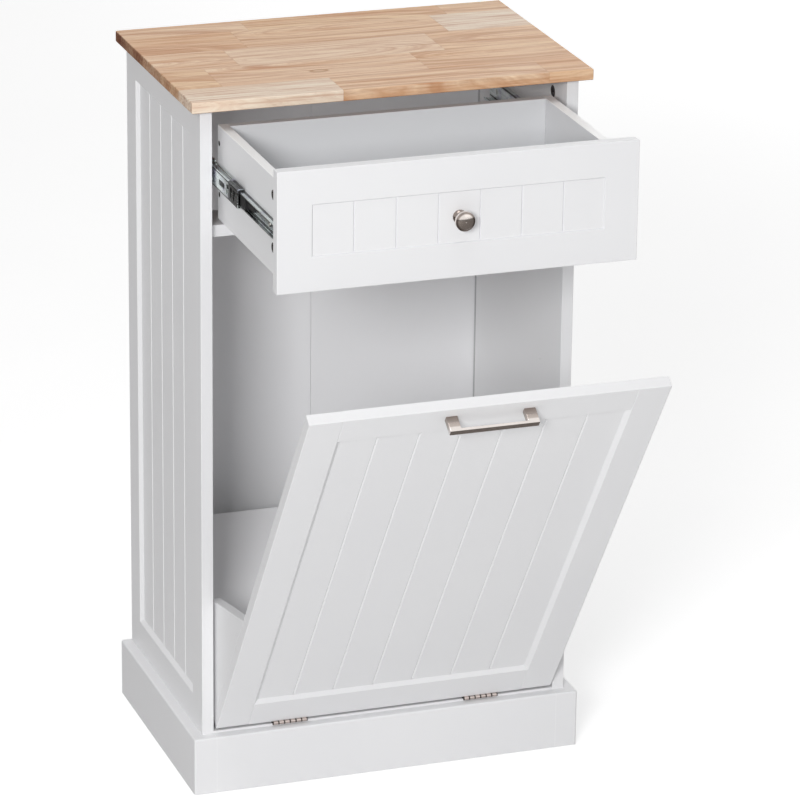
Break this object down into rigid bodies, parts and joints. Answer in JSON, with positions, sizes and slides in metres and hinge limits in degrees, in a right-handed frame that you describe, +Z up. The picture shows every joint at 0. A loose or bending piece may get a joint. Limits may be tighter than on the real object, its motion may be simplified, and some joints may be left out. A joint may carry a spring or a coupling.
{
  "type": "recycling cabinet",
  "caption": "Floor-standing recycling cabinet with a tilt-out boarded door that carries a bin tray, a pull-out drawer above it, a wood worktop and a plinth.",
  "frame": {"origin": "on the floor, in the middle of the width, in the plane of the cabinet's rear", "axes": "+X to the right as seen from the front, +Y to the rear, +Z up"},
  "size_m": [0.51, 0.6983, 0.9],
  "materials": {
    "white_paint": "satin white paint on board",
    "natural_wood": "clear satin lacquer",
    "beech_dowel": "raw",
    "satin_nickel": "satin nickel plate",
    "zinc_steel": "bright zinc plate",
    "black_plastic": "matt moulded",
    "ball_steel": "polished",
    "hinge_steel": "satin nickel plate",
    "fastener_steel": "bright zinc plate",
    "black_steel": "black phosphate",
    "cam_zinc": "cast zinc"
  },
  "bodies": {
    "cabinet": {"worktop": "natural_wood", "side_panel_left": "white_paint", "side_panel_right": "white_paint", "floor_panel": "white_paint", "back_panel_left": "white_paint", "back_panel_right": "white_paint", "drawer_rail": "white_paint", "plinth_front": "white_paint", "plinth_left": "white_paint", "plinth_right": "white_paint", "plinth_back": "white_paint", "slide_outer_left": "zinc_steel", "slide_outer_right": "zinc_steel", "slide_outer_screws": "fastener_steel", "hinge_floor_leaf_left": "hinge_steel", "hinge_floor_leaf_right": "hinge_steel", "hinge_pins": "hinge_steel", "hinge_floor_screws": "fastener_steel", "carcase_cams": "cam_zinc", "carcase_cam_bolts": "fastener_steel", "plinth_dowels": "beech_dowel", "tilt_stops": "black_plastic"},
    "drawer": {"drawer_front": "white_paint", "drawer_side_left": "white_paint", "drawer_side_right": "white_paint", "drawer_back": "white_paint", "drawer_bottom": "white_paint", "drawer_knob": "satin_nickel", "knob_screw": "fastener_steel", "slide_inner_left": "zinc_steel", "slide_inner_right": "zinc_steel", "slide_latch_left": "black_plastic", "slide_latch_right": "black_plastic", "slide_inner_screws": "fastener_steel", "drawer_cams": "cam_zinc", "drawer_cam_bolts": "fastener_steel", "drawer_back_screws": "black_steel"},
    "slide_middle_left": {"slide_middle_left": "zinc_steel", "slide_outer_cage_left": "zinc_steel", "slide_inner_cage_left": "black_plastic", "slide_balls_left": "ball_steel"},
    "slide_middle_right": {"slide_middle_right": "zinc_steel", "slide_outer_cage_right": "zinc_steel", "slide_inner_cage_right": "black_plastic", "slide_balls_right": "ball_steel"},
    "door": {"door_stile_left": "white_paint", "door_stile_right": "white_paint", "door_rail_top": "white_paint", "door_rail_bottom": "white_paint", "door_panel": "white_paint", "door_handle": "satin_nickel", "handle_screws": "fastener_steel", "tray_base": "white_paint", "tray_cheek_left": "white_paint", "tray_cheek_right": "white_paint", "tray_dowels": "beech_dowel", "hinge_door_leaf_left": "hinge_steel", "hinge_door_leaf_right": "hinge_steel", "hinge_door_screws": "fastener_steel"}
  },
  "joints": [
    {"name": "drawer_slide", "type": "slide", "parent": "cabinet", "child": "drawer", "axis": [0, 1, 0], "range_m": [0, 0.246]},
    {"name": "slide_middle_left", "type": "slide", "parent": "cabinet", "child": "slide_middle_left", "axis": [0, 1, 0], "range_m": [0, 0.11]},
    {"name": "slide_middle_right", "type": "slide", "parent": "cabinet", "child": "slide_middle_right", "axis": [0, 1, 0], "range_m": [0, 0.11]},
    {"name": "door_tilt", "type": "hinge", "parent": "cabinet", "child": "door", "pos_m": [0, -0.3223, 0.0791], "axis": [-1, 0, 0], "range_deg": [0, 34.5]}
  ],
  "couplings": [
    {"joint": "slide_middle_left", "follows": "drawer_slide", "ratio": 0.44715},
    {"joint": "slide_middle_right", "follows": "drawer_slide", "ratio": 0.44715}
  ]
}
